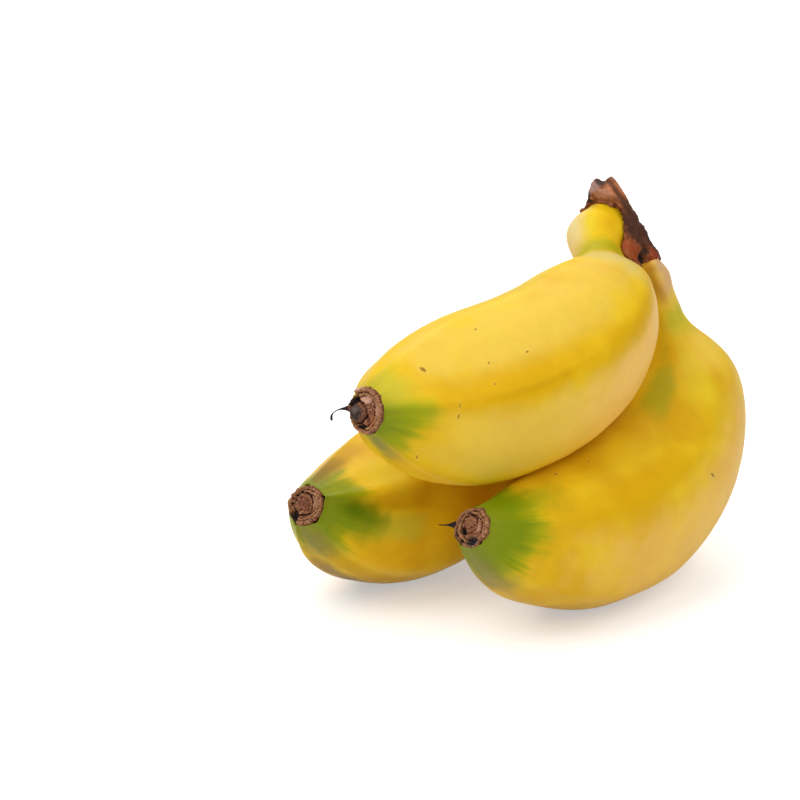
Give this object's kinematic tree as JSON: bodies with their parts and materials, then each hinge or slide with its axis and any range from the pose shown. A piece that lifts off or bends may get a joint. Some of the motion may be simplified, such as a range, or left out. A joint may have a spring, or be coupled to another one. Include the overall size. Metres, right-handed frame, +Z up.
{
  "type": "hand of lady-finger bananas",
  "caption": "Small hand of short, plump, ridged bananas with green-tinged tips, joined at a dry brown crown and resting on their sides.",
  "frame": {"origin": "on the surface the hand rests on, under the middle of its bounding box", "axes": "+Z up, +X to the right along the longer side of the hand, -Y towards the blossom ends"},
  "size_m": [0.0978, 0.086, 0.0799],
  "materials": {
    "dry_crown": "matte, fibrous",
    "front_peel": "waxy satin",
    "right_peel": "waxy satin",
    "lower_peel": "waxy satin",
    "blossom_cork": "matte, corky",
    "dried_thread": "matte"
  },
  "bodies": {
    "root": {"crown": "dry_crown", "front_finger": "front_peel", "right_finger": "right_peel", "lower_finger": "lower_peel", "front_blossom_end": "blossom_cork", "right_blossom_end": "blossom_cork", "lower_blossom_end": "blossom_cork", "front_style": "dried_thread", "right_style": "dried_thread"}
  },
  "joints": []
}
